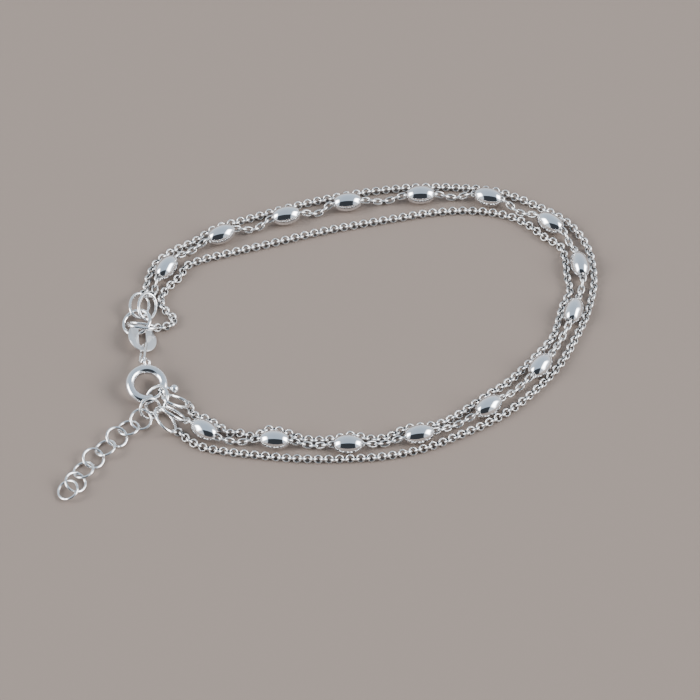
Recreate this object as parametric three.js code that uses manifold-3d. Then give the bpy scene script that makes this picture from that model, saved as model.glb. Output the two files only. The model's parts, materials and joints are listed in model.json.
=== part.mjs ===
// A three-strand chain bracelet, closed and lying flat on a table.
// Two fine round-link chains and one oval-link chain threaded with barrel beads share a bolt-ring
// clasp at one end and an extension chain at the other.
// Millimetres, +Z up. The layout is written around a point inside the wrist loop, and the whole group
// is then moved so that the origin is the middle of the object's footprint on the table.
import * as THREE from "three";
import { ParametricGeometry } from "three/addons/geometries/ParametricGeometry.js";
import { mergeVertices } from "three/addons/utils/BufferGeometryUtils.js";
import Module from "manifold-3d";

const wasm = await Module();
wasm.setup();
const radians = THREE.MathUtils.degToRad;

// ---------------------------------------------------------------- driving dimensions

const FOOTPRINT_MIDDLE = [-2.27, 1.96]; // X and Y of the origin in the layout

const ROUND_CHAIN = { width: 0.92, steps: 76 }; // across links that sit at 45 degrees to the table
const OVAL_CHAIN = { width: 0.76, steps: 78, restHeight: 0.6 };
const CHAIN_SIDES = 8;

const BEAD = { length: 3.7, diameter: 2.6, mouth: 1.34, bore: 1.2, sides: 12, stations: 6 };
const THREADED_HALF = 2.1; // the chain runs straight this far each side of a bead's middle

const END_RING = { length: 4.36, width: 3.16, wire: 0.46, steps: 20 };
const COLLECTOR = { length: 4.3, width: 4.3, wire: 0.54, steps: 20 };
const EXTENSION_RING = { length: 3.1, width: 3.1, wire: 0.38, steps: 16 };
const SMALL_LINK = { length: 4.4, width: 1.56, wire: 0.4, steps: 18 };
const WIRE_SIDES = 6;

const TAG = {
  length: 4.7,
  width: 4.1,
  thickness: 0.26,
  slotLength: 3.4,
  slotWidth: 1.05,
  slotShift: -0.1, // along the tag, towards the collector
};

const TUBE_SIDES = 10;
const BOLT_RING = {
  diameter: 5.78,
  tube: 1.3,
  channel: 0.88, // bore of the hollow tube
  gateFrom: -68, // degrees round the ring, from its own +X towards its +Y
  gateTo: -34,
  slotFrom: -16, // the knob's slot in the outer wall
  slotTo: 38,
  slotWidth: 0.46,
  steps: 26,
};
const TUBE_RADIUS = BOLT_RING.tube / 2;
const RING_RADIUS = BOLT_RING.diameter / 2 - TUBE_RADIUS; // to the middle of the tube
const EYE = { diameter: 1.5, wire: 0.36, steps: 14, radius: 3.17, turn: 50 }; // degrees from flat

const BOLT_SIDES = 8;
const BOLT = {
  wire: 0.56,
  nose: -73, // closed, the nose stands inside the far end of the tube
  tail: 12,
  knobAt: -8,
  stem: 0.34,
  knob: 1.28,
  knobRadius: 3.72, // from the ring's middle to the knob's middle
  steps: 9,
};

// ---------------------------------------------------------------- layout on the table

// How each bent-wire ring lies: its middle, then in degrees the heading of its long axis from +X, its
// roll about that axis, and the axis's rise.
const CLASP = {
  collector: { x: -28.95, y: 4.2, z: 0.84, heading: 1, roll: 5, rise: 17 },
  end_ring_outer: { x: -28.7, y: 7.05, z: 0.87, heading: 78, roll: 28, rise: -2 },
  end_ring_middle: { x: -27.6, y: 6.75, z: 1.06, heading: 80, roll: 37, rise: 6 },
  end_ring_inner: { x: -28.15, y: 3.4, z: 1.16, heading: -4, roll: -42, rise: -7 },
  tag_link: { x: -28.1, y: 1.38, z: 1.01, heading: -85, roll: -25, rise: 5 },
  small_link: { x: -27.88, y: -1.45, z: 1.55, heading: -92, roll: 55, rise: 18 },
  bolt_ring: { x: -27.16, y: -6.72, z: 1.7, heading: 2, roll: 10.5, rise: -6.5 },
};

const EXTENSION = {
  collector: { x: -25.8, y: -9.07, z: 1.465, heading: 111, roll: -39.5, rise: -2 },
  end_ring_outer: { x: -24.55, y: -12.04, z: 1.1, heading: -60, roll: -36, rise: -10 },
  end_ring_middle: { x: -23.57, y: -11.15, z: 1.43, heading: -22, roll: -44, rise: -22 },
  end_ring_inner: { x: -23.2, y: -9.45, z: 1.71, heading: 14, roll: -21, rise: -34 },
};

const EXTENSION_CHAIN = [
  { x: -26.6, y: -10.3, z: 1.2, heading: 226, roll: -45, rise: -18 },
  { x: -27.8, y: -11.7, z: 0.69, heading: 298, roll: 7, rise: -18 },
  { x: -29.4, y: -13.0, z: 0.55, heading: 222, roll: 15, rise: 4 },
  { x: -30.9, y: -14.55, z: 0.69, heading: 209, roll: -19, rise: 9 },
  { x: -32.33, y: -16.3, z: 0.67, heading: 239, roll: 20, rise: 1 },
  { x: -33.85, y: -17.9, z: 0.63, heading: 214, roll: -18, rise: 6 },
  { x: -35.05, y: -19.75, z: 0.61, heading: 266, roll: 15, rise: 9 },
  { x: -36.0, y: -21.75, z: 0.73, heading: 227, roll: -21, rise: 10 },
  { x: -36.95, y: -23.0, z: 0.75, heading: 211, roll: 6, rise: -19 },
];

// Routes of the two round-link chains on the table, from the clasp's end round to the extension's.
const OUTER_ROUTE = [
  [-28.0, 10.0], [-27.6, 12.2], [-26.7, 14.5], [-24.6, 16.6], [-21.5, 18.4], [-18.7, 20.6],
  [-13.9, 22.4], [-8.3, 24.4], [-2.7, 26.0], [3.0, 27.2], [8.7, 27.9], [14.6, 27.9],
  [20.4, 27.2], [25.6, 24.8], [30.2, 21.6], [32.7, 17.4], [33.4, 11.8], [32.4, 6.6],
  [30.4, 1.7], [27.9, -3.0], [23.5, -8.1], [19.4, -11.4], [14.7, -14.0], [9.8, -16.2],
  [4.4, -17.5], [-0.5, -17.9], [-6.1, -17.9], [-11.6, -17.4], [-17.3, -16.6], [-20.0, -15.8],
  [-21.8, -14.5], [-22.5, -13.7],
];

const INNER_ROUTE = [
  [-25.2, 3.7], [-24.2, 4.2], [-24.0, 5.1], [-25.0, 6.3], [-25.8, 7.9], [-25.3, 9.9],
  [-24.3, 11.2], [-23.3, 12.4], [-22.6, 14.0], [-20.8, 15.0], [-16.5, 16.4], [-11.1, 18.0],
  [-5.4, 19.7], [0.0, 21.1], [5.7, 22.3], [11.3, 23.4], [16.0, 23.8], [19.9, 23.4],
  [22.9, 22.4], [25.0, 21.0], [26.9, 19.1], [29.0, 17.5], [29.6, 15.1], [29.7, 12.5],
  [30.0, 9.8], [28.9, 7.1], [28.2, 4.5], [27.4, 2.0], [24.6, -1.7], [20.8, -5.8],
  [18.6, -7.4], [16.3, -9.3], [12.0, -12.2], [7.3, -13.1], [5.0, -14.4], [2.6, -14.7],
  [0.3, -14.1], [-2.1, -14.7], [-4.3, -14.9], [-6.6, -14.6], [-8.5, -13.7], [-10.9, -13.2],
  [-12.8, -14.3], [-15.1, -13.6], [-16.0, -13.8], [-17.3, -12.8], [-19.1, -11.5], [-21.0, -10.7],
  [-21.2, -9.9],
];

// The beads in order along the middle chain: middle, heading in degrees, and how far the chain after
// the bead bows to the left of a straight line.
const BEADS = [
  { x: -25.2, y: 13.2, heading: 58, bow: 0.1 },
  { x: -17.8, y: 19.0, heading: 27, bow: -0.5 },
  { x: -8.9, y: 22.3, heading: 14, bow: -0.4 },
  { x: -0.4, y: 24.7, heading: 8, bow: -0.1 },
  { x: 9.8, y: 26.0, heading: 3, bow: -0.1 },
  { x: 19.2, y: 25.6, heading: -15, bow: -0.3 },
  { x: 27.7, y: 21.0, heading: -38, bow: 0.1 },
  { x: 31.5, y: 13.7, heading: -80, bow: 0.1 },
  { x: 30.3, y: 5.8, heading: -108, bow: 0 },
  { x: 25.5, y: -3.4, heading: -128, bow: 0 },
  { x: 18.4, y: -10.0, heading: -143, bow: 0 },
  { x: 9.1, y: -14.5, heading: -166, bow: 0 },
  { x: -0.3, y: -16.1, heading: 181, bow: 0 },
  { x: -10.0, y: -15.4, heading: 176, bow: 0.2 },
  { x: -19.3, y: -13.8, heading: 146, bow: 0 },
];
const MIDDLE_CHAIN_START = [[-26.6, 9.2], [-26.7, 10.2]]; // from the clasp to the first bead

// ---------------------------------------------------------------- materials

const silver = (color, roughness) =>
  new THREE.MeshStandardMaterial({ color, roughness, metalness: 1 });
const CHAIN_SILVER = silver(0xd4d6da, 0.28);
const BEAD_SILVER = silver(0xe4e6ea, 0.06);
const WIRE_SILVER = silver(0xdcdee2, 0.16);

// ---------------------------------------------------------------- shared shapes

// A regular section with flats on its own axes, so that a level tube has a flat underside.
function polygonPoints(sides, radius) {
  return Array.from({ length: sides }, (_, i) => {
    const angle = (2 * Math.PI * (i + 0.5)) / sides;
    return new THREE.Vector2(radius * Math.cos(angle), radius * Math.sin(angle));
  });
}

const sweep = (shape, path, steps) =>
  new THREE.ExtrudeGeometry(shape, { steps, bevelEnabled: false, extrudePath: path });

// A round wire bent to an ellipse in its own XY plane, its long axis on X.
function wireRing({ length, width, wire, steps }) {
  const a = (length - wire) / 2;
  const b = (width - wire) / 2;
  const outward = new THREE.Vector3();
  const surface = (u, v, point) => {
    const along = 2 * Math.PI * u;
    const around = 2 * Math.PI * v;
    outward.set(b * Math.cos(along), a * Math.sin(along), 0).normalize();
    point.set(a * Math.cos(along), b * Math.sin(along), 0);
    point.addScaledVector(outward, (wire / 2) * Math.cos(around));
    point.z = (wire / 2) * Math.sin(around);
  };
  return new ParametricGeometry(surface, steps, WIRE_SIDES);
}

// An arc about the origin in the XY plane, in degrees from +X towards +Y.
class RingArc extends THREE.Curve {
  constructor(radius, from, to) {
    super();
    Object.assign(this, { radius, from, to });
  }
  getPoint(t, point = new THREE.Vector3()) {
    const angle = radians(this.from + t * (this.to - this.from));
    return point.set(this.radius * Math.cos(angle), this.radius * Math.sin(angle), 0);
  }
}

function named(name, geometry, material) {
  const mesh = new THREE.Mesh(geometry, material.clone());
  mesh.name = name;
  return mesh;
}

function lay(mesh, { x, y, z, heading, roll, rise }) {
  mesh.rotation.set(radians(roll), radians(-rise), radians(heading), "ZYX");
  mesh.position.set(x, y, z);
  return mesh;
}

// A closed geometry as a manifold solid, and back.
function solid(geometry) {
  const bare = geometry.clone();
  bare.deleteAttribute("normal");
  bare.deleteAttribute("uv");
  const merged = mergeVertices(bare, 1e-4);
  return new wasm.Manifold(
    new wasm.Mesh({
      numProp: 3,
      vertProperties: merged.attributes.position.array,
      triVerts: new Uint32Array(merged.index.array),
    }),
  );
}

function geometryOf(manifold) {
  const { vertProperties, triVerts } = manifold.getMesh();
  return new THREE.BufferGeometry()
    .setAttribute("position", new THREE.BufferAttribute(vertProperties, 3))
    .setIndex(new THREE.BufferAttribute(triVerts, 1));
}

// ---------------------------------------------------------------- the three strands

function chainTube(points, { width, steps }) {
  const radius = width / 2 / Math.cos(Math.PI / CHAIN_SIDES);
  const section = new THREE.Shape(polygonPoints(CHAIN_SIDES, radius));
  return sweep(section, new THREE.CatmullRomCurve3(points, false, "centripetal"), steps);
}

// The round-link chains lie on the table all the way.
const levelRoute = (route) => route.map(([x, y]) => new THREE.Vector3(x, y, ROUND_CHAIN.width / 2));

const beadMiddle = ({ x, y }) => new THREE.Vector3(x, y, BEAD.diameter / 2);
const beadDirection = ({ heading }) =>
  new THREE.Vector3(Math.cos(radians(heading)), Math.sin(radians(heading)), 0);
const alongBead = (bead, distance) =>
  beadMiddle(bead).addScaledVector(beadDirection(bead), distance);

// The chain leaves each bead at the height of its bore and sags to the table before the next.
function sagBetween(bead, next) {
  const from = alongBead(bead, THREADED_HALF);
  const to = alongBead(next, -THREADED_HALF);
  const left = new THREE.Vector3(from.y - to.y, to.x - from.x, 0).normalize();
  const middle = from.add(to).multiplyScalar(0.5).addScaledVector(left, bead.bow);
  return middle.setZ(OVAL_CHAIN.restHeight);
}

function beadedRoute() {
  const points = MIDDLE_CHAIN_START.map(([x, y]) => new THREE.Vector3(x, y, OVAL_CHAIN.restHeight));
  BEADS.forEach((bead, i) => {
    points.push(...[-THREADED_HALF, 0, THREADED_HALF].map((d) => alongBead(bead, d)));
    if (i + 1 < BEADS.length) points.push(sagBetween(bead, BEADS[i + 1]));
  });
  return points;
}

// An oval bead cut square at both mouths of an open bore, turned about its own Y and then laid along X.
function beadGeometry() {
  const half = BEAD.length / 2;
  const end = Math.acos(BEAD.mouth / BEAD.diameter); // the angle round the oval at which it is cut
  const profile = [new THREE.Vector2(BEAD.bore / 2, -half)];
  for (let i = 0; i <= BEAD.stations; i++) {
    const angle = end * ((2 * i) / BEAD.stations - 1);
    const along = (half * Math.sin(angle)) / Math.sin(end);
    profile.push(new THREE.Vector2((BEAD.diameter / 2) * Math.cos(angle), along));
  }
  profile.push(new THREE.Vector2(BEAD.bore / 2, half), profile[0].clone());
  return new THREE.LatheGeometry(profile, BEAD.sides).rotateZ(-Math.PI / 2);
}

function strands() {
  const group = new THREE.Group();
  group.add(
    named("chain_outer", chainTube(levelRoute(OUTER_ROUTE), ROUND_CHAIN), CHAIN_SILVER),
    named("chain_middle", chainTube(beadedRoute(), OVAL_CHAIN), CHAIN_SILVER),
    named("chain_inner", chainTube(levelRoute(INNER_ROUTE), ROUND_CHAIN), CHAIN_SILVER),
  );
  BEADS.forEach((bead, i) => {
    const mesh = named(`bead_${String(i + 1).padStart(2, "0")}`, beadGeometry(), BEAD_SILVER);
    mesh.rotation.z = radians(bead.heading);
    mesh.position.copy(beadMiddle(bead));
    group.add(mesh);
  });
  return group;
}

// ---------------------------------------------------------------- clasp side

// A stamped flat link with a long slot, left plain. The collector and the small link pass through it.
function tagGeometry() {
  const { length, width, thickness, slotLength, slotWidth, slotShift } = TAG;
  const outline = new THREE.Shape().absellipse(0, 0, length / 2, width / 2, 0, 2 * Math.PI);
  const end = (slotLength - slotWidth) / 2;
  const slot = new THREE.Path()
    .absarc(slotShift + end, 0, slotWidth / 2, -Math.PI / 2, Math.PI / 2)
    .absarc(slotShift - end, 0, slotWidth / 2, Math.PI / 2, (3 * Math.PI) / 2);
  outline.holes.push(slot);
  return new THREE.ExtrudeGeometry(outline, {
    depth: thickness,
    bevelEnabled: false,
    curveSegments: 9,
  }).translate(0, 0, -thickness / 2);
}

// The hollow C of the bolt ring, with its gate, the knob's slot and the eye it hangs by.
function boltRingGeometry() {
  const { gateFrom, gateTo, slotFrom, slotTo, slotWidth, channel, tube, steps } = BOLT_RING;
  const whole = new RingArc(RING_RADIUS, gateTo, gateFrom + 360);
  const body = solid(sweep(new THREE.Shape(polygonPoints(TUBE_SIDES, TUBE_RADIUS)), whole, steps));
  const overrun = 2; // degrees past each end of the tube
  const hollow = new RingArc(RING_RADIUS, gateTo - overrun, gateFrom + 360 + overrun);
  const bore = solid(sweep(new THREE.Shape(polygonPoints(BOLT_SIDES, channel / 2)), hollow, steps));

  // The slot runs from inside the channel out through the wall, level with the ring.
  const depth = tube / 2;
  const cutter = new THREE.Shape(
    [[-1, -1], [1, -1], [1, 1], [-1, 1]].map(
      ([u, v]) => new THREE.Vector2((u * slotWidth) / 2, (v * depth) / 2),
    ),
  );
  const slotArc = new RingArc(RING_RADIUS + 0.6 * depth, slotFrom, slotTo);
  const slot = solid(sweep(cutter, slotArc, 6));

  const eye = wireRing({ ...EYE, length: EYE.diameter, width: EYE.diameter })
    .rotateY(radians(EYE.turn))
    .translate(0, EYE.radius, 0);
  return geometryOf(body.add(solid(eye)).subtract(bore).subtract(slot));
}

// The sprung bolt: a curved wire that closes the gate, with the knob that draws it back.
function boltGeometry() {
  const { wire, nose, tail, knobAt, stem, knob, knobRadius, steps } = BOLT;
  const arc = new RingArc(RING_RADIUS, nose, tail);
  const curved = solid(sweep(new THREE.Shape(polygonPoints(BOLT_SIDES, wire / 2)), arc, steps));
  const reach = knobRadius - RING_RADIUS;
  const shaft = new THREE.CylinderGeometry(stem / 2, stem / 2, reach, 8)
    .rotateZ(-Math.PI / 2)
    .translate(RING_RADIUS + reach / 2, 0, 0);
  const ball = new THREE.SphereGeometry(knob / 2, 12, 8).translate(knobRadius, 0, 0);
  const turned = [shaft, ball].map((part) => solid(part.rotateZ(radians(knobAt))));
  return geometryOf(curved.add(turned[0]).add(turned[1]));
}

function clasp() {
  const group = new THREE.Group();
  const endRing = (side) =>
    lay(named(`clasp_end_ring_${side}`, wireRing(END_RING), WIRE_SILVER), CLASP[`end_ring_${side}`]);
  group.add(
    lay(named("clasp_collector", wireRing(COLLECTOR), WIRE_SILVER), CLASP.collector),
    ...["outer", "middle", "inner"].map(endRing),
    lay(named("tag_link", tagGeometry(), WIRE_SILVER), CLASP.tag_link),
    lay(named("small_link", wireRing(SMALL_LINK), WIRE_SILVER), CLASP.small_link),
    lay(named("bolt_ring", boltRingGeometry(), WIRE_SILVER), CLASP.bolt_ring),
    lay(named("bolt", boltGeometry(), WIRE_SILVER), CLASP.bolt_ring),
  );
  return group;
}

// ---------------------------------------------------------------- extension side

function extension() {
  const group = new THREE.Group();
  const endRing = (side) =>
    lay(
      named(`extension_end_ring_${side}`, wireRing(END_RING), WIRE_SILVER),
      EXTENSION[`end_ring_${side}`],
    );
  group.add(
    lay(named("extension_collector", wireRing(COLLECTOR), WIRE_SILVER), EXTENSION.collector),
    ...["outer", "middle", "inner"].map(endRing),
    ...EXTENSION_CHAIN.map((place, i) =>
      lay(named(`extension_ring_${i + 1}`, wireRing(EXTENSION_RING), WIRE_SILVER), place),
    ),
  );
  return group;
}

// ---------------------------------------------------------------- the bracelet

const layout = new THREE.Group();
layout.position.set(-FOOTPRINT_MIDDLE[0], -FOOTPRINT_MIDDLE[1], 0);
layout.add(strands(), clasp(), extension());

const bracelet = new THREE.Group();
bracelet.add(layout);
export default bracelet;
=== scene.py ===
"""The looks of a three-strand silver chain bracelet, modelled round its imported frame.

Two round-link chains and an oval-link chain with barrel beads run from a bolt-ring clasp to an
extension chain. Each piece is modelled once at the origin, then laid where its CAD node lies.
"""

import json
import math
import random

import bmesh
import bpy
import numpy as np
from mathutils import Matrix, Vector


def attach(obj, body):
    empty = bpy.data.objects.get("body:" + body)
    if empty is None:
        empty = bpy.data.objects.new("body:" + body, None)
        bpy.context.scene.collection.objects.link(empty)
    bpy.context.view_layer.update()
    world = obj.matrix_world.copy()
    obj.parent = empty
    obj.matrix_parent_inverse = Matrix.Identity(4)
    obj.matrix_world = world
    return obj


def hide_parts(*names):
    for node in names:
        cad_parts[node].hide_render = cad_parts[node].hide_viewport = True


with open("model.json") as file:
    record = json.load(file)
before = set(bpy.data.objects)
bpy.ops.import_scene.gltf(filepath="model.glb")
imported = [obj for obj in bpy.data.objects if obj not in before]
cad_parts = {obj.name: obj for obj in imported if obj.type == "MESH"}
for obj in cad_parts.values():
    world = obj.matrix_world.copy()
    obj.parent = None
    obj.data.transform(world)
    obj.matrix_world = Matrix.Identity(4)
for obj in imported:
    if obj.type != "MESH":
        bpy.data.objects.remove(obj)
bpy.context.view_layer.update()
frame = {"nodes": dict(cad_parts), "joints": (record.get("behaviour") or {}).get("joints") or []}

MM = 0.001
FOOTPRINT_MIDDLE = (-2.27, 1.96)  # the origin, in the millimetres that the routes are written in

# Sizes of the pieces are in millimetres and angles in degrees.

# A link's band is the breadth of its flattened wire, and its jitter how far its lean may stray.
ROUND_LINK = {"length": 1.23, "width": 1.23, "wire": 0.265, "band": 0.38, "pitch": 0.7, "jitter": 4}
OVAL_LINK = {"length": 1.46, "width": 1.0, "wire": 0.285, "band": 0.34, "pitch": 0.88, "jitter": 6}
WORN_END = {"reach": 1.2, "thinned": 0.94}  # reach from a link's end, in wires
DRIFT = {"turn": 6, "wave": 2.3}  # a chain's slow twist to and fro along its length
RESTING_ROLL = 45  # how far a link lying on the table leans to either side
THREADED_ROLL = 36  # how far every other threaded link turns to the front
LINK_HEIGHT = 0.46  # height of the round-link chains' middle over the table
SAG_HEIGHT = 0.6  # the same for the beaded chain, midway between two beads
THREADED_HALF = 2.1  # half of the straight run of chain through a bead

BEAD = {"length": 3.7, "diameter": 2.6, "mouth": 1.34, "bore": 1.2, "sides": 48, "stations": 9}
END_RING = {"length": 4.36, "width": 3.16, "wire": 0.46}
COLLECTOR = {"length": 4.3, "width": 4.3, "wire": 0.54}
EXTENSION_RING = {"length": 3.1, "width": 3.1, "wire": 0.38}
SMALL_LINK = {"length": 4.4, "width": 1.56, "wire": 0.4}
BUTT_JOINT = {"half": 0.02, "depth": 0.03, "near": 0.5}  # near is how far off the wire is cut
TAG = {
    "length": 4.7,
    "width": 4.1,
    "thickness": 0.26,
    "slot_length": 3.4,
    "slot_width": 1.05,
    "slot_shift": -0.1,
    "sides": 64,
    "edge": 0.07,
}
CLASP = {  # its angles go round from X to the eye, which lies out along Y
    "ring_radius": 2.24,
    "tube": 1.3,
    "wall": 0.21,
    "edge": 0.045,
    "steps": 84,
    "sides": 28,
    "gate": (-68, -34),
    "slot": (-16, 38),
    "slot_width": 0.46,
    "eye": 1.5,
    "eye_wire": 0.36,
    "eye_at": 3.17,
    "eye_turn": 50,  # from flat
    "eye_rim": 0.15,  # depth of the eye's outer rim, whose corners show the way to the eye
}
SLOT_CUTTER = {"depth": 1.0, "beyond": 0.6, "steps": 18}  # beyond the middle of the tube
BOLT = {
    "wire": 0.56,
    "nose": -73,
    "tail": 12,
    "steps": 24,
    "sides": 16,
    "knob_at": -8,
    "knob": 1.28,
    "knob_radius": 3.72,
}
CAP_STEP = 20  # angle between the hoops that round off the bolt's ends
KNOB_CUT = 0.06  # how much of the knob is cut off for its stem
KNOB_NECK = ((0.06, 0.70), (0.10, 0.92))  # length and narrowing of each step of the neck
STEM_SHORT = 0.05  # how far the stem ends before the middle of the bolt's wire
CREASE = 40  # edges sharper than this stay sharp
HAIR = 0.01  # the slack with which corners are picked

OUTER_ROUTE = [
    (-28.0, 10.0), (-27.6, 12.2), (-26.7, 14.5), (-24.6, 16.6), (-21.5, 18.4), (-18.7, 20.6),
    (-13.9, 22.4), (-8.3, 24.4), (-2.7, 26.0), (3.0, 27.2), (8.7, 27.9), (14.6, 27.9),
    (20.4, 27.2), (25.6, 24.8), (30.2, 21.6), (32.7, 17.4), (33.4, 11.8), (32.4, 6.6),
    (30.4, 1.7), (27.9, -3.0), (23.5, -8.1), (19.4, -11.4), (14.7, -14.0), (9.8, -16.2),
    (4.4, -17.5), (-0.5, -17.9), (-6.1, -17.9), (-11.6, -17.4), (-17.3, -16.6), (-20.0, -15.8),
    (-21.8, -14.5), (-22.5, -13.7),
]
INNER_ROUTE = [
    (-25.2, 3.7), (-24.2, 4.2), (-24.0, 5.1), (-25.0, 6.3), (-25.8, 7.9), (-25.3, 9.9),
    (-24.3, 11.2), (-23.3, 12.4), (-22.6, 14.0), (-20.8, 15.0), (-16.5, 16.4), (-11.1, 18.0),
    (-5.4, 19.7), (0.0, 21.1), (5.7, 22.3), (11.3, 23.4), (16.0, 23.8), (19.9, 23.4),
    (22.9, 22.4), (25.0, 21.0), (26.9, 19.1), (29.0, 17.5), (29.6, 15.1), (29.7, 12.5),
    (30.0, 9.8), (28.9, 7.1), (28.2, 4.5), (27.4, 2.0), (24.6, -1.7), (20.8, -5.8),
    (18.6, -7.4), (16.3, -9.3), (12.0, -12.2), (7.3, -13.1), (5.0, -14.4), (2.6, -14.7),
    (0.3, -14.1), (-2.1, -14.7), (-4.3, -14.9), (-6.6, -14.6), (-8.5, -13.7), (-10.9, -13.2),
    (-12.8, -14.3), (-15.1, -13.6), (-16.0, -13.8), (-17.3, -12.8), (-19.1, -11.5), (-21.0, -10.7),
    (-21.2, -9.9),
]
MIDDLE_START = [(-26.6, 9.2), (-26.7, 10.2)]  # the beaded chain before its first bead
CHAIN_BOWS = [0.1, -0.5, -0.4, -0.1, -0.1, -0.3, 0.1, 0.1, 0, 0, 0, 0, 0, 0.2]  # after each bead
BEADS = [f"bead_{number:02d}" for number in range(1, 16)]

CAMERA = {"elevation": 54, "distance": 450, "target": (2.23, -1.76, 0), "lens": 171.3, "sensor": 36}
TENT_STOPS = (  # colours from the horizon to overhead
    (0.0, (0.94, 0.95, 0.97)),
    (0.45, (0.73, 0.83, 0.95)),
    (1.0, (0.52, 0.63, 0.76)),
)
HORIZON = ("Z", 0.0, 0.10)
PANELS = (  # light and soft edges, each edge from where the panel ends to where it is full
    (
        (15.0, 15.0, 15.3),
        (("X", 0.54, 0.76), ("X", 0.97, 0.84), ("Y", -0.53, -0.31), ("Y", 0.38, 0.12), HORIZON),
    ),
    (
        (16.0, 16.0, 16.3),
        (("X", -0.54, -0.76), ("X", -0.97, -0.84), ("Y", -0.52, -0.30), ("Y", 0.27, 0.01), HORIZON),
    ),
)
ROOM_LIGHT = (0.042, 0.048, 0.056)
ROOM_EDGES = (("Y", -0.34, -0.44), ("X", 0.60, 0.52, True))  # True: the same on both sides
FLOOR = {"size": 1.2, "colour": (0.213, 0.170, 0.142), "roughness": 0.75}  # size in metres
# Painted shade: the inner side of each link's wire is darkened towards near black, standing in for the
# shade where the links hang in each other.
PAINTED_SHADE = {"colour": (0.045, 0.047, 0.05), "start": 0.45, "most": 0.97}  # start is a depth in the wire
RIPPLE_DEPTH = 0.05

dice = random.Random(11)


# ------------------------------------------------------------------ camera, light and floor


def set_camera():
    elevation = math.radians(CAMERA["elevation"])
    distance = CAMERA["distance"] * MM
    target = Vector(CAMERA["target"]) * MM
    bpy.ops.object.camera_add(
        location=target + distance * Vector((0, -math.cos(elevation), math.sin(elevation))),
        rotation=(math.pi / 2 - elevation, 0, 0),
    )
    camera = bpy.context.object
    camera.data.sensor_width = CAMERA["sensor"]
    camera.data.lens = CAMERA["lens"]
    bpy.context.scene.camera = camera


def set_world():
    """A bluish tent, bright at both sides, that opens on a dark room in front."""
    world = bpy.data.worlds.new("studio")
    bpy.context.scene.world = world
    world.use_nodes = True
    nodes, links = world.node_tree.nodes, world.node_tree.links
    coordinates = nodes.new("ShaderNodeTexCoord")
    way = nodes.new("ShaderNodeSeparateXYZ")
    links.new(coordinates.outputs["Generated"], way.inputs[0])

    def ramp(axis, start, end, mirrored=False):
        source = way.outputs[axis]
        if mirrored:
            both_sides = nodes.new("ShaderNodeMath")
            both_sides.operation = "ABSOLUTE"
            links.new(source, both_sides.inputs[0])
            source = both_sides.outputs[0]
        step = nodes.new("ShaderNodeMapRange")
        step.interpolation_type = "SMOOTHSTEP"
        step.inputs["From Min"].default_value = start
        step.inputs["From Max"].default_value = end
        links.new(source, step.inputs["Value"])
        return step.outputs["Result"]

    def within(edges):
        product = ramp(*edges[0])
        for edge in edges[1:]:
            node = nodes.new("ShaderNodeMath")
            node.operation = "MULTIPLY"
            links.new(product, node.inputs[0])
            links.new(ramp(*edge), node.inputs[1])
            product = node.outputs[0]
        return product

    def lay_over(light, edges, below):
        mix = nodes.new("ShaderNodeMix")
        mix.data_type = "RGBA"
        mix.inputs["B"].default_value = (*light, 1)
        links.new(within(edges), mix.inputs["Factor"])
        links.new(below, mix.inputs["A"])
        return mix.outputs["Result"]

    tent = nodes.new("ShaderNodeValToRGB")
    links.new(way.outputs["Z"], tent.inputs[0])
    stops = tent.color_ramp.elements
    stops.new(TENT_STOPS[1][0])
    for stop, (height, colour) in zip(stops, TENT_STOPS):
        stop.position, stop.color = height, (*colour, 1)
    sky = tent.outputs[0]
    for light, edges in PANELS:
        sky = lay_over(light, edges, sky)
    sky = lay_over(ROOM_LIGHT, ROOM_EDGES, sky)
    links.new(sky, nodes["Background"].inputs["Color"])


def lay_floor():
    bpy.ops.mesh.primitive_plane_add(size=FLOOR["size"])
    floor = bpy.context.object
    floor.name = "floor"
    material = bpy.data.materials.new("pale_floor")
    material.use_nodes = True
    shader = material.node_tree.nodes["Principled BSDF"]
    shader.inputs["Base Color"].default_value = (*FLOOR["colour"], 1)
    shader.inputs["Roughness"].default_value = FLOOR["roughness"]
    floor.data.materials.append(material)


# ------------------------------------------------------------------ finishes


def wear_group():
    """Fine wear on polished silver: uneven roughness and a soft ripple, both over the surface."""
    group = bpy.data.node_groups.new("fine_wear", "ShaderNodeTree")
    for name in ("Scale", "Roughness", "Spread", "Ripple"):
        group.interface.new_socket(name, in_out="INPUT", socket_type="NodeSocketFloat")
    group.interface.new_socket("Roughness", in_out="OUTPUT", socket_type="NodeSocketFloat")
    group.interface.new_socket("Tone", in_out="OUTPUT", socket_type="NodeSocketFloat")
    group.interface.new_socket("Normal", in_out="OUTPUT", socket_type="NodeSocketVector")
    nodes, links = group.nodes, group.links
    given = nodes.new("NodeGroupInput")
    out = nodes.new("NodeGroupOutput")
    place = nodes.new("ShaderNodeTexCoord")
    noise = nodes.new("ShaderNodeTexNoise")
    noise.inputs["Detail"].default_value = 3
    links.new(place.outputs["Object"], noise.inputs["Vector"])
    links.new(given.outputs["Scale"], noise.inputs["Scale"])
    spread = nodes.new("ShaderNodeMath")
    spread.operation = "MULTIPLY_ADD"
    links.new(noise.outputs["Fac"], spread.inputs[0])
    links.new(given.outputs["Spread"], spread.inputs[1])
    links.new(given.outputs["Roughness"], spread.inputs[2])
    bump = nodes.new("ShaderNodeBump")
    bump.inputs["Distance"].default_value = RIPPLE_DEPTH * MM
    links.new(noise.outputs["Fac"], bump.inputs["Height"])
    links.new(given.outputs["Ripple"], bump.inputs["Strength"])
    links.new(spread.outputs[0], out.inputs["Roughness"])
    links.new(noise.outputs["Fac"], out.inputs["Tone"])
    links.new(bump.outputs[0], out.inputs["Normal"])
    return group


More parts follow.
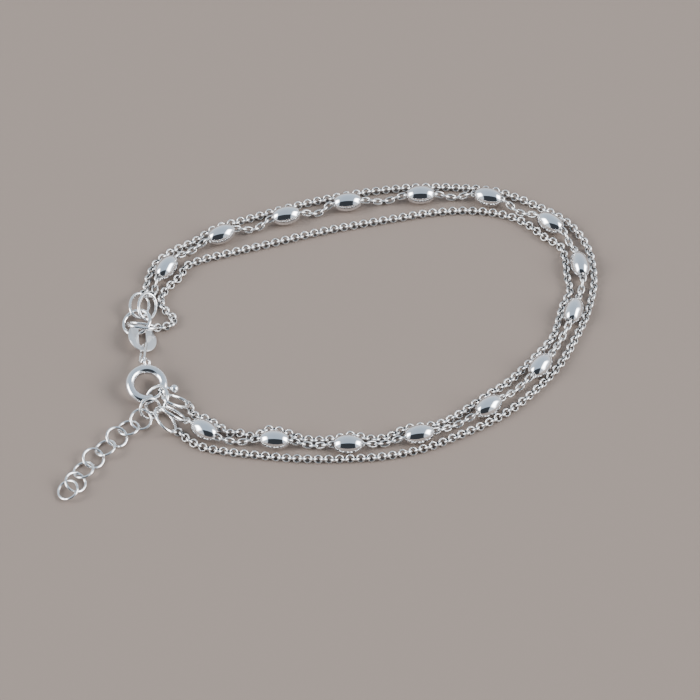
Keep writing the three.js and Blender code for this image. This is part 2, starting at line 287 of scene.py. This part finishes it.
def silver(name, polish, dull, roughness, spread=0.05, ripple=0.1, scale=900.0, painted_shade=False):
    """Polished silver between two tones, with painted shade darkening it where a link carries a high
    painted-shade value.
    """
    material = bpy.data.materials.new(name)
    material.use_nodes = True
    nodes, links = material.node_tree.nodes, material.node_tree.links
    shader = nodes["Principled BSDF"]
    shader.inputs["Metallic"].default_value = 1.0
    wear = nodes.new("ShaderNodeGroup")
    wear.node_tree = WEAR
    values = {"Scale": scale, "Roughness": roughness, "Spread": spread, "Ripple": ripple}
    for socket, value in values.items():
        wear.inputs[socket].default_value = value
    tone = nodes.new("ShaderNodeMix")
    tone.data_type = "RGBA"
    tone.inputs["A"].default_value = (*polish, 1)
    tone.inputs["B"].default_value = (*dull, 1)
    links.new(wear.outputs["Tone"], tone.inputs["Factor"])
    colour = tone.outputs["Result"]
    # Painted shade: the colour goes dark where the link's per-point painted-shade value is high.
    if painted_shade:
        attribute = nodes.new("ShaderNodeAttribute")
        attribute.attribute_name = "painted_shade"
        dark = nodes.new("ShaderNodeMix")
        dark.data_type = "RGBA"
        dark.inputs["B"].default_value = (*PAINTED_SHADE["colour"], 1)
        links.new(attribute.outputs["Fac"], dark.inputs["Factor"])
        links.new(colour, dark.inputs["A"])
        colour = dark.outputs["Result"]
    links.new(colour, shader.inputs["Base Color"])
    links.new(wear.outputs["Roughness"], shader.inputs["Roughness"])
    links.new(wear.outputs["Normal"], shader.inputs["Normal"])
    return material


# ------------------------------------------------------------------ modelling by hand


def start(name):
    """Names the primitive just added and opens it in edit mode with nothing selected."""
    piece = bpy.context.object
    piece.name = name
    piece.data.name = name
    bpy.ops.object.transform_apply()
    bpy.ops.object.mode_set(mode="EDIT")
    bpy.ops.mesh.select_all(action="DESELECT")
    return piece


def pick(piece, wanted, mode="VERT"):
    """Selects the vertices or faces of the edited piece whose place, in millimetres, is wanted."""
    bpy.ops.mesh.select_mode(type=mode)
    bpy.ops.mesh.select_all(action="DESELECT")
    edited = bmesh.from_edit_mesh(piece.data)
    for element in edited.verts if mode == "VERT" else edited.faces:
        place = element.co if mode == "VERT" else element.calc_center_median()
        element.select_set(bool(wanted(place / MM)))
    edited.select_flush_mode()
    bmesh.update_edit_mesh(piece.data)


def close(piece):
    """Leaves edit mode with the normals out and the faces smooth."""
    bpy.ops.mesh.select_mode(type="VERT")
    bpy.ops.mesh.select_all(action="SELECT")
    bpy.ops.mesh.remove_doubles(threshold=1e-7)
    bpy.ops.mesh.normals_make_consistent(inside=False)
    bpy.ops.object.mode_set(mode="OBJECT")
    bpy.ops.object.shade_smooth()
    return piece


def apply_modifier(piece, kind, **settings):
    """Finishes a piece with one modifier."""
    bpy.ops.object.select_all(action="DESELECT")
    piece.select_set(True)
    bpy.context.view_layer.objects.active = piece
    modifier = piece.modifiers.new(kind.lower(), kind)
    for name, value in settings.items():
        setattr(modifier, name, value)
    bpy.ops.object.modifier_apply(modifier=modifier.name)


def cut_or_join(piece, other, operation):
    """Cuts another shape from a piece or joins it on, and uses it up."""
    apply_modifier(piece, "BOOLEAN", object=other, operation=operation, solver="EXACT")
    bpy.data.objects.remove(other)


def chain_link(name, size):
    """A soldered link of half-flattened wire, a little worn where its neighbours hang in it, with
    painted shade on the inner side of its wire.
    """
    length, width, wire = size["length"], size["width"], size["wire"]
    bpy.ops.object.select_all(action="DESELECT")
    bpy.ops.mesh.primitive_torus_add(
        major_radius=(width - wire) / 2 * MM,
        minor_radius=wire / 2 * MM,
        major_segments=12,
        minor_segments=6,
    )
    link = start(name)
    bpy.ops.mesh.select_all(action="SELECT")
    bpy.ops.transform.resize(value=(1, 1, size["band"] / wire), center_override=(0, 0, 0))
    stretch = (length - width) / 2
    for side in (-1, 1):
        pick(link, lambda place: place.x * side > HAIR)
        bpy.ops.transform.translate(value=(side * stretch * MM, 0, 0))
        worn = length / 2 - WORN_END["reach"] * wire
        pick(link, lambda place: place.x * side > worn and abs(place.y) < wire)
        bpy.ops.transform.resize(value=(1, 1, WORN_END["thinned"]), center_override=(0, 0, 0))
    close(link)
    # Painted shade, deepest on the inner side of the wire where the neighbouring links hang, stored as
    # a point attribute.
    painted_shade = link.data.attributes.new("painted_shade", "FLOAT", "POINT")
    for number, vertex in enumerate(link.data.vertices):
        x = max(abs(vertex.co.x / MM) - stretch, 0)
        depth = (width / 2 - math.hypot(x, vertex.co.y / MM)) / wire
        shade = max(0.0, min(1.0, 2 * (depth - PAINTED_SHADE["start"])))
        painted_shade.data[number].value = PAINTED_SHADE["most"] * shade * (2 - shade)
    return link


def bent_wire(name, length, width, wire):
    """Round wire bent to an oval and closed with a fine butt joint on one side."""
    bpy.ops.object.select_all(action="DESELECT")
    bpy.ops.curve.primitive_bezier_circle_add(radius=1)
    ring = bpy.context.object
    bpy.ops.object.mode_set(mode="EDIT")
    bpy.ops.curve.select_all(action="SELECT")
    stretch = ((length - wire) / 2 * MM, (width - wire) / 2 * MM, 1)
    bpy.ops.transform.resize(value=stretch, center_override=(0, 0, 0))
    bpy.ops.object.mode_set(mode="OBJECT")
    ring.data.bevel_depth = wire / 2 * MM
    ring.data.bevel_resolution = 3
    ring.data.resolution_u = 16
    bpy.ops.object.convert(target="MESH")
    start(name)
    half = BUTT_JOINT["half"]
    for cut in (-half, half):
        pick(ring, lambda place: abs(place.x) < BUTT_JOINT["near"] and place.y < 0)
        bpy.ops.mesh.bisect(plane_co=(cut * MM, 0, 0), plane_no=(1, 0, 0))
    pick(ring, lambda place: abs(place.x) < half / 2 and place.y < 0)
    bpy.ops.transform.shrink_fatten(value=-BUTT_JOINT["depth"] * MM)
    return close(ring)


def barrel_bead():
    """A polished oval bead with its ends cut square at the mouths of an open bore."""
    half, mouth, bore = BEAD["length"] / 2, BEAD["mouth"] / 2, BEAD["bore"] / 2
    end = math.acos(BEAD["mouth"] / BEAD["diameter"])
    bpy.ops.object.select_all(action="DESELECT")
    bpy.ops.mesh.primitive_cylinder_add(
        vertices=BEAD["sides"],
        radius=mouth * MM,
        depth=2 * half * MM,
        end_fill_type="NOTHING",
        rotation=(0, math.pi / 2, 0),
    )
    bead = start("barrel_bead")
    stations = BEAD["stations"]
    turns = [end * (step / stations - 1) for step in range(1, 2 * stations)]
    for turn in turns:
        bpy.ops.mesh.select_all(action="SELECT")
        station = half * math.sin(turn) / math.sin(end)
        bpy.ops.mesh.bisect(plane_co=(station * MM, 0, 0), plane_no=(1, 0, 0))
    for turn in turns:
        station = half * math.sin(turn) / math.sin(end)
        grown = math.cos(turn) / math.cos(end)
        pick(bead, lambda place: abs(place.x - station) < HAIR)
        bpy.ops.transform.resize(value=(1, grown, grown), center_override=(0, 0, 0))
    for side in (-1, 1):
        pick(bead, lambda place: place.x * side > half - HAIR)
        bpy.ops.mesh.extrude_region_move()
        bpy.ops.transform.resize(value=(1, bore / mouth, bore / mouth), center_override=(0, 0, 0))
    pick(bead, lambda place: abs(place.x) > half - HAIR and place.yz.length < bore + HAIR)
    bpy.ops.mesh.bridge_edge_loops()
    return close(bead)


def slotted_tag():
    """A flat oval plate with a long slot, its edges softly rounded, and nothing stamped on it."""
    bpy.ops.object.select_all(action="DESELECT")
    bpy.ops.mesh.primitive_circle_add(vertices=TAG["sides"], radius=MM / 2)
    tag = start("slotted_tag")
    bpy.ops.mesh.select_all(action="SELECT")
    bpy.ops.transform.resize(value=(TAG["length"], TAG["width"], 1), center_override=(0, 0, 0))
    half_length, half_width = TAG["slot_length"] / 2, TAG["slot_width"] / 2
    bpy.ops.mesh.primitive_circle_add(vertices=TAG["sides"], radius=half_width * MM)
    for side in (-1, 1):
        pick(tag, lambda place: place.x * side > HAIR and place.xy.length < half_width + HAIR)
        bpy.ops.transform.translate(value=(side * (half_length - half_width) * MM, 0, 0))
    pick(
        tag,
        lambda place: abs(place.x) < half_length + HAIR and abs(place.y) < half_width + HAIR,
    )
    bpy.ops.transform.translate(value=(TAG["slot_shift"] * MM, 0, 0))
    bpy.ops.mesh.select_all(action="SELECT")
    bpy.ops.mesh.bridge_edge_loops()
    close(tag)
    apply_modifier(tag, "SOLIDIFY", thickness=TAG["thickness"] * MM, offset=0)
    apply_modifier(tag, "BEVEL", width=TAG["edge"] * MM, segments=3, limit_method="ANGLE")
    bpy.ops.object.shade_smooth_by_angle(angle=math.radians(CREASE))
    return tag


def spin_profile(piece, first, last, steps):
    """Spins the profile in the edited piece round Z from one angle to another, its ends open."""
    bpy.ops.mesh.select_all(action="SELECT")
    angle = math.radians(last - first)
    bpy.ops.mesh.spin(steps=steps, angle=angle, center=(0, 0, 0), axis=(0, 0, 1))
    bpy.ops.mesh.select_all(action="SELECT")
    bpy.ops.object.mode_set(mode="OBJECT")
    # The spin may run either way, so the side of its first step is looked up.
    step = (last - first) / steps
    turns = [math.degrees(math.atan2(v.co.y, v.co.x)) for v in piece.data.vertices]
    backwards = any(-1.5 * step < turn < -0.5 * step for turn in turns)
    piece.data.transform(Matrix.Rotation(math.radians(last if backwards else first), 4, "Z"))
    bpy.ops.object.mode_set(mode="EDIT")


def curved_tube(name, radius, first, last, steps, sides):
    """An open tube bent round the origin at the clasp's own radius."""
    bpy.ops.object.select_all(action="DESELECT")
    bpy.ops.mesh.primitive_circle_add(
        vertices=sides,
        radius=radius * MM,
        location=(CLASP["ring_radius"] * MM, 0, 0),
        rotation=(math.pi / 2, 0, 0),
    )
    tube = start(name)
    spin_profile(tube, first, last, steps)
    return tube


def hollow_ring():
    """The clasp's hollow ring with its gate, the knob's slot and the soldered eye."""
    gate_near, gate_far = CLASP["gate"]
    steps, sides = CLASP["steps"], CLASP["sides"]
    tube = curved_tube("hollow_ring", CLASP["tube"] / 2, gate_far, gate_near + 360, steps, sides)
    close(tube)
    apply_modifier(tube, "SOLIDIFY", thickness=CLASP["wall"] * MM, offset=-1)
    apply_modifier(tube, "BEVEL", width=CLASP["edge"] * MM, segments=2, limit_method="ANGLE")

    bpy.ops.object.select_all(action="DESELECT")
    bpy.ops.mesh.primitive_plane_add(
        size=SLOT_CUTTER["depth"] * MM,
        location=((CLASP["ring_radius"] + SLOT_CUTTER["beyond"]) * MM, 0, 0),
        rotation=(math.pi / 2, 0, 0),
    )
    cutter = start("slot_cutter")
    bpy.ops.mesh.select_all(action="SELECT")
    narrow = CLASP["slot_width"] / SLOT_CUTTER["depth"]
    bpy.ops.transform.resize(value=(1, 1, narrow), center_override=(0, 0, 0))
    bpy.ops.mesh.delete(type="ONLY_FACE")
    spin_profile(cutter, *CLASP["slot"], SLOT_CUTTER["steps"])
    bpy.ops.mesh.select_all(action="SELECT")
    bpy.ops.mesh.fill_holes(sides=0)
    close(cutter)
    cut_or_join(tube, cutter, "DIFFERENCE")

    eye = bent_wire("eye", CLASP["eye"], CLASP["eye"], CLASP["eye_wire"])
    turn = Matrix.Rotation(math.radians(CLASP["eye_turn"]), 4, "Y")
    eye.data.transform(Matrix.Translation((0, CLASP["eye_at"] * MM, 0)) @ turn)
    cut_or_join(tube, eye, "UNION")
    bpy.ops.object.shade_smooth_by_angle(angle=math.radians(CREASE))
    return tube


def on_ring(degrees):
    """A point on the middle of the ring's tube, at an angle round the clasp."""
    turn = math.radians(degrees)
    return Vector((math.cos(turn), math.sin(turn), 0)) * CLASP["ring_radius"] * MM


def sprung_bolt():
    """The bolt's curved wire with rounded ends, and the knob that draws it back."""
    wire = BOLT["wire"] / 2
    ends = (BOLT["nose"], BOLT["tail"])
    bolt = curved_tube("sprung_bolt", wire, *ends, BOLT["steps"], BOLT["sides"])
    for end, way in zip(ends, (-1, 1)):
        forward = way * on_ring(end + 90).normalized()
        tip = on_ring(end)
        pick(bolt, lambda place: (place - tip / MM).length < wire + HAIR)
        for angle in range(CAP_STEP, 90, CAP_STEP):
            turn, before = math.radians(angle), math.radians(angle - CAP_STEP)
            move = forward * wire * MM * (math.sin(turn) - math.sin(before))
            narrow = math.cos(turn) / math.cos(before)
            tip = tip + move
            bpy.ops.mesh.extrude_region_move()
            bpy.ops.transform.translate(value=move)
            bpy.ops.transform.resize(value=[narrow] * 3, center_override=tip)
        bpy.ops.mesh.merge(type="CENTER")
    close(bolt)

    bpy.ops.object.select_all(action="DESELECT")
    bpy.ops.mesh.primitive_uv_sphere_add(
        segments=24,
        ring_count=16,
        radius=BOLT["knob"] / 2 * MM,
        location=(BOLT["knob_radius"] * MM, 0, 0),
        rotation=(0, math.pi / 2, 0),
    )
    knob = start("knob")
    foot = BOLT["knob_radius"] - BOLT["knob"] / 2
    stem = (foot - CLASP["ring_radius"] - STEM_SHORT, 1.0)
    pick(knob, lambda place: place.x < foot + KNOB_CUT, "FACE")
    bpy.ops.mesh.delete(type="FACE")
    bpy.ops.mesh.select_mode(type="EDGE")
    bpy.ops.mesh.select_non_manifold()
    for reach, narrow in (*KNOB_NECK, stem):
        bpy.ops.mesh.extrude_region_move()
        bpy.ops.transform.translate(value=(-reach * MM, 0, 0))
        bpy.ops.transform.resize(value=(1, narrow, narrow), center_override=(0, 0, 0))
    bpy.ops.mesh.fill_holes(sides=0)
    close(knob)
    knob.data.transform(Matrix.Rotation(math.radians(BOLT["knob_at"]), 4, "Z"))
    cut_or_join(bolt, knob, "UNION")
    bpy.ops.object.shade_smooth_by_angle(angle=math.radians(CREASE))
    return bolt


# ------------------------------------------------------------------ where things lie


def at(x, y, z):
    """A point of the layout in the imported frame's metres."""
    return Vector((x - FOOTPRINT_MIDDLE[0], y - FOOTPRINT_MIDDLE[1], z)) * MM


def axes_matrix(middle, long, cross, normal):
    """The lie of a piece whose middle and three axes are given."""
    turned = Matrix((long, cross, normal)).transposed().to_4x4()
    return Matrix.Translation(middle) @ turned


def corners_of(node):
    """The corners of a CAD node, each counted once."""
    points = np.array([vertex.co for vertex in frame["nodes"][node].data.vertices])
    return np.unique(points.round(7), axis=0)


def lie_of(node):
    """A CAD node's middle, with X along its longest direction and Z across its plane."""
    points = corners_of(node)
    middle = points.mean(axis=0)
    _, directions = np.linalg.eigh(np.cov((points - middle).T))
    normal, long = Vector(directions[:, 0]), Vector(directions[:, 2])
    if normal.z < 0:
        normal = -normal
    return axes_matrix(Vector(middle), long, normal.cross(long), normal)


def ring_tip(node, size, near):
    """The middle of a ring's wire at whichever end of its long axis is nearer to a point."""
    lie = lie_of(node)
    reach = (size["length"] - size["wire"]) / 2 * MM
    tips = [lie @ Vector((side * reach, 0, 0)) for side in (-1, 1)]
    return min(tips, key=lambda tip: (tip - near).length)


def smooth_route(points, fineness=24):
    """A centripetal Catmull-Rom curve through the points, as many short straight steps."""
    points = [Vector(point) for point in points]
    points = [2 * points[0] - points[1], *points, 2 * points[-1] - points[-2]]
    steps = []
    for four in zip(points, points[1:], points[2:], points[3:]):
        gaps = [math.sqrt((b - a).length) for a, b in zip(four, four[1:])]
        slopes = [(b - a) / gap for a, b, gap in zip(four, four[1:], gaps)]
        spans = [(b - a) / (near + far) for a, b, near, far in zip(four, four[2:], gaps, gaps[1:])]
        leave = (slopes[0] - spans[0] + slopes[1]) * gaps[1]
        arrive = (slopes[1] - spans[1] + slopes[2]) * gaps[1]
        first, second = four[1:3]
        for step in range(fineness):
            t = step / fineness
            steps.append(
                (2 * t**3 - 3 * t**2 + 1) * first
                + (t**3 - 2 * t**2 + t) * leave
                + (3 * t**2 - 2 * t**3) * second
                + (t**3 - t**2) * arrive
            )
    return steps + [points[-2]]


def along(route, distances):
    """Points at given distances along a fine route."""
    lengths = np.cumsum([0] + [(b - a).length for a, b in zip(route, route[1:])])
    spread = [np.interp(distances, lengths, [point[axis] for point in route]) for axis in range(3)]
    return [Vector(point) for point in zip(*spread)]


def route_length(route):
    """The length of a route of straight steps."""
    return sum((b - a).length for a, b in zip(route, route[1:]))


def link_places(route, size, roll_of):
    """Links that hook the rings at both ends, turned a quarter round by turns, above the table."""
    length = route_length(route)
    reach = (size["length"] - size["wire"]) / 2 * MM
    hook = reach - (END_RING["wire"] + size["wire"]) / 2 * MM
    count = round((length - 2 * hook) / (size["pitch"] * MM)) + 1
    middles = np.linspace(hook, length - hook, count)
    half = size["pitch"] * MM / 2
    places = []
    for number, middle in enumerate(middles):
        stretch = [max(middle - half, 0), middle, min(middle + half, length)]
        back, here, ahead = along(route, stretch)
        tangent = (ahead - back).normalized()
        left = Vector((0, 0, 1)).cross(tangent).normalized()
        drift = DRIFT["turn"] * math.sin(middle / MM / DRIFT["wave"])
        stray = dice.uniform(-size["jitter"], size["jitter"])
        roll = math.radians(roll_of(left) + 90 * (number % 2) + drift + stray)
        side = Matrix.Rotation(roll, 3, tangent) @ left
        rise, flat = math.sin(roll), math.cos(roll)
        wire_height = math.hypot(size["wire"] * rise, size["band"] * flat)
        height = (size["width"] - size["wire"]) * abs(rise) + wire_height
        here.z = max(here.z, height / 2 * MM)
        places.append(axes_matrix(here, tangent, side, tangent.cross(side)))
    return places


def copies(source, name, places):
    """One piece made of copies of a shape, each with its own mesh, laid at the given places."""
    made = []
    for place in places:
        copy = bpy.data.objects.new(name, source.data.copy())
        copy.data.transform(place)
        bpy.context.collection.objects.link(copy)
        made.append(copy)
    bpy.ops.object.select_all(action="DESELECT")
    for copy in made:
        copy.select_set(True)
    bpy.context.view_layer.objects.active = made[0]
    if len(made) > 1:
        bpy.ops.object.join()
    made[0].name = name
    return made[0]


def dress(piece, node, material, body="bracelet"):
    """Gives a finished piece its silver and its body, and hides the CAD node it stands for."""
    piece.data.materials.clear()
    piece.data.materials.append(material)
    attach(piece, body)
    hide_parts(node)


# ------------------------------------------------------------------ the strands


def lay_round_chain(name, points, head, tail):
    """Lays a round-link chain between the end rings at its head and its tail."""
    route = [at(x, y, LINK_HEIGHT) for x, y in points]
    route = [ring_tip(head, END_RING, route[0]), *route, ring_tip(tail, END_RING, route[-1])]
    places = link_places(smooth_route(route), ROUND_LINK, lambda left: RESTING_ROLL)
    dress(copies(round_link, f"{name}_links", places), name, CHAIN_SILVER)


def beaded_route():
    """The middle chain's route: straight through each bead, sagging and bowed between two."""
    threaded = THREADED_HALF * MM
    route = [at(x, y, SAG_HEIGHT) for x, y in MIDDLE_START]
    lies = [bead_lie(node) for node in BEADS]
    for number, lie in enumerate(lies):
        route += [lie @ Vector((distance, 0, 0)) for distance in (-threaded, 0, threaded)]
        if number + 1 < len(lies):
            leave, enter = route[-1], lies[number + 1] @ Vector((-threaded, 0, 0))
            left = Vector((leave.y - enter.y, enter.x - leave.x, 0)).normalized()
            low = (leave + enter) / 2 + CHAIN_BOWS[number] * MM * left
            low.z = SAG_HEIGHT * MM
            route.append(low)
    head = ring_tip("clasp_end_ring_middle", END_RING, route[0])
    tail = ring_tip("extension_end_ring_middle", END_RING, route[-1])
    return [head, *route, tail]


def bead_lie(node):
    """A bead's lie with X pointing on round the loop, clockwise from above."""
    lie = lie_of(node)
    middle = lie.translation
    onward = Vector((middle.y, -middle.x, 0))
    direction = lie.col[0].to_3d()
    if direction.dot(onward) < 0:
        direction = -direction
    direction.z = 0
    direction.normalize()
    up = Vector((0, 0, 1))
    return axes_matrix(middle, direction, up.cross(direction), up)


def lay_beads():
    route = smooth_route(beaded_route())
    places = link_places(route, OVAL_LINK, lambda left: THREADED_ROLL * left.y)
    chain = copies(oval_link, "chain_middle_links", places)
    dress(chain, "chain_middle", CHAIN_SILVER)
    for node in BEADS:
        spun = Matrix.Rotation(dice.uniform(0, math.tau), 4, "X")
        bead = copies(bead_shape, f"barrel_{node}", [bead_lie(node) @ spun])
        dress(bead, node, BEAD_SILVER)


# ------------------------------------------------------------------ rings, tag and clasp


def lay_ring(node, shape):
    wire = copies(shape, f"{node}_wire", [lie_of(node)])
    dress(wire, node, WIRE_SILVER)


def lay_rings():
    for side in ("clasp", "extension"):
        lay_ring(f"{side}_collector", collector_shape)
        for strand in ("outer", "middle", "inner"):
            lay_ring(f"{side}_end_ring_{strand}", end_ring_shape)
    for number in range(1, 10):
        lay_ring(f"extension_ring_{number}", extension_ring_shape)
    lay_ring("small_link", small_link_shape)


def lay_tag():
    """Lays the tag with its slot shifted towards the collector."""
    lie = lie_of("tag_link")
    collector = lie_of("clasp_collector").translation
    if lie.col[0].to_3d().dot(collector - lie.translation) > 0:
        lie = lie @ Matrix.Rotation(math.pi, 4, "Z")
    tag = copies(tag_shape, "plain_tag", [lie])
    dress(tag, "tag_link", TAG_SILVER)


def clasp_lie():
    """The bolt ring's lie: Z on the bolt's axis, and Y out through the eye."""
    joint = frame["joints"][0]
    middle, normal = Vector(joint["pos_m"]), Vector(joint["axis"]).normalized()
    corners = [Vector(point) - middle for point in corners_of("bolt_ring")]
    rim = max(corner.length for corner in corners) - CLASP["eye_rim"] * MM
    eye = sum((corner for corner in corners if corner.length > rim), Vector())
    eye = (eye - eye.dot(normal) * normal).normalized()
    return axes_matrix(middle, eye.cross(normal), eye, normal)


def lay_clasp():
    lie = clasp_lie()
    tube = copies(tube_shape, "bolt_ring_tube", [lie])
    dress(tube, "bolt_ring", CLASP_SILVER)
    wire = copies(bolt_shape, "bolt_wire", [lie])
    dress(wire, "bolt", BOLT_SILVER, "bolt")


# ------------------------------------------------------------------ the bracelet

set_camera()
set_world()
lay_floor()

WEAR = wear_group()
# The chain's silver carries the painted shade inside the links.
CHAIN_SILVER = silver(
    "chain_silver", polish=(0.97, 0.97, 0.96), dull=(0.93, 0.93, 0.92), roughness=0.32, painted_shade=True
)
BEAD_SILVER = silver(
    "bead_silver",
    polish=(0.92, 0.93, 0.95),
    dull=(0.90, 0.91, 0.93),
    roughness=0.045,
    spread=0.03,
    ripple=0.02,
    scale=400.0,
)
WIRE_SILVER = silver(
    "wire_silver", polish=(0.94, 0.94, 0.94), dull=(0.88, 0.89, 0.89), roughness=0.05, spread=0.04
)
CLASP_SILVER = silver(
    "clasp_silver",
    polish=(0.93, 0.94, 0.95),
    dull=(0.89, 0.90, 0.92),
    roughness=0.09,
    spread=0.06,
    ripple=0.05,
    scale=500.0,
)
BOLT_SILVER = silver(
    "bolt_silver", polish=(0.92, 0.93, 0.94), dull=(0.86, 0.87, 0.88), roughness=0.12
)
TAG_SILVER = silver(
    "tag_silver",
    polish=(0.80, 0.81, 0.82),
    dull=(0.72, 0.73, 0.74),
    roughness=0.3,
    spread=0.08,
    ripple=0.08,
    scale=700.0,
)

round_link = chain_link("round_link", ROUND_LINK)
oval_link = chain_link("oval_link", OVAL_LINK)
bead_shape = barrel_bead()
collector_shape = bent_wire("collector_shape", **COLLECTOR)
end_ring_shape = bent_wire("end_ring_shape", **END_RING)
extension_ring_shape = bent_wire("extension_ring_shape", **EXTENSION_RING)
small_link_shape = bent_wire("small_link_shape", **SMALL_LINK)
tag_shape = slotted_tag()
tube_shape = hollow_ring()
bolt_shape = sprung_bolt()

lay_round_chain("chain_outer", OUTER_ROUTE, "clasp_end_ring_outer", "extension_end_ring_outer")
lay_round_chain("chain_inner", INNER_ROUTE, "clasp_end_ring_inner", "extension_end_ring_inner")
lay_beads()
lay_rings()
lay_tag()
lay_clasp()

for shape in (
    round_link,
    oval_link,
    bead_shape,
    collector_shape,
    end_ring_shape,
    extension_ring_shape,
    small_link_shape,
    tag_shape,
    tube_shape,
    bolt_shape,
):
    bpy.data.objects.remove(shape)
